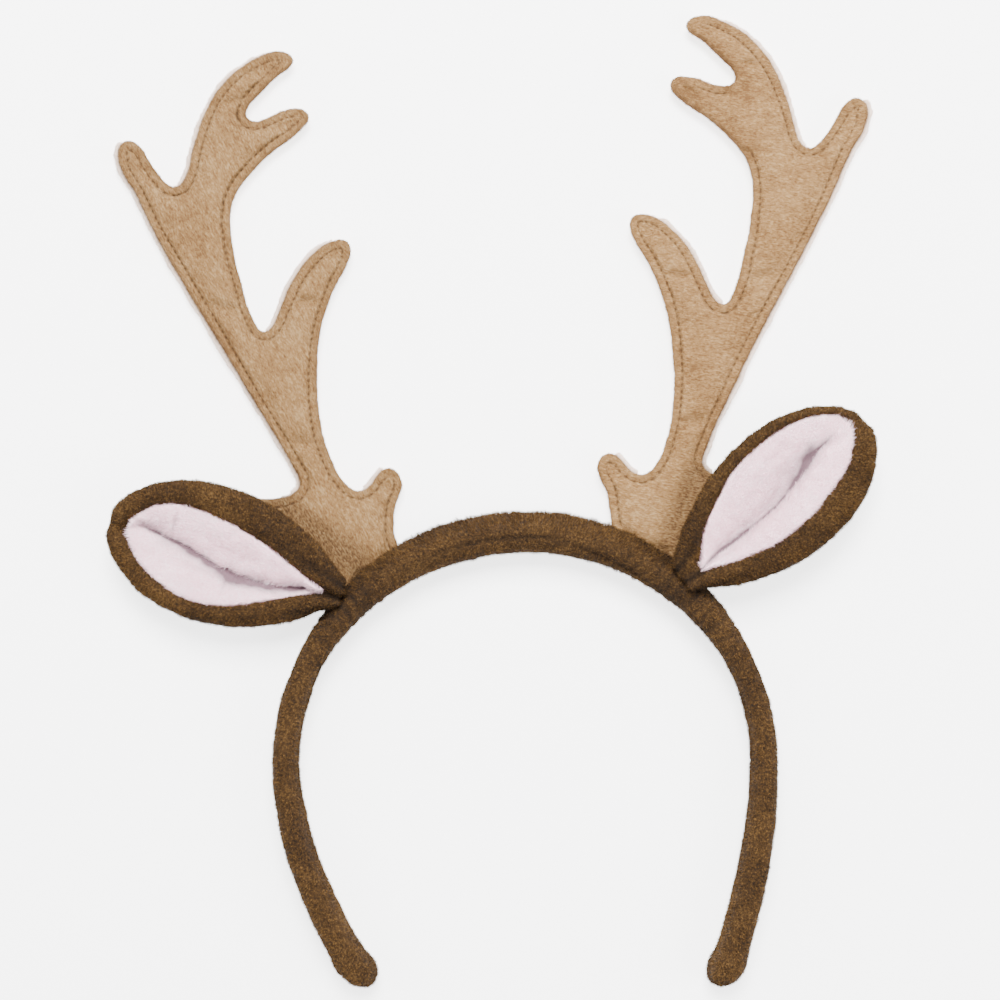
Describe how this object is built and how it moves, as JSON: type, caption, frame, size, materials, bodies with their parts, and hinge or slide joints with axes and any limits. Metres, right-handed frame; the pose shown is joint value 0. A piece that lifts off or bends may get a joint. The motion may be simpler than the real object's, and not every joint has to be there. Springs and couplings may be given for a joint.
{
  "type": "reindeer antler headband",
  "caption": "Plush-covered hair band with padded cloth reindeer antlers and lined plush ears sewn on, for costume wear.",
  "frame": {"origin": "middle of the outline's box in X and Y, on the surface that the headband lies on", "axes": "+Y from the band's tips up to the antlers, +X to the viewer's right, +Z out of the surface towards the viewer, the side that the ears are on"},
  "size_m": [0.216, 0.2754, 0.0182],
  "materials": {
    "brown_plush": "short brown plush pile, matt with a soft sheen",
    "pink_plush": "very pale pink short plush pile, matt",
    "beige_plush": "beige velour with a short brushed nap, topstitched near the edge"
  },
  "bodies": {
    "root": {"headband": "brown_plush", "antler_left_front": "beige_plush", "antler_left_back": "beige_plush", "ear_left_shell": "brown_plush", "ear_left_lining": "pink_plush", "antler_right_front": "beige_plush", "antler_right_back": "beige_plush", "ear_right_shell": "brown_plush", "ear_right_lining": "pink_plush"}
  },
  "joints": []
}
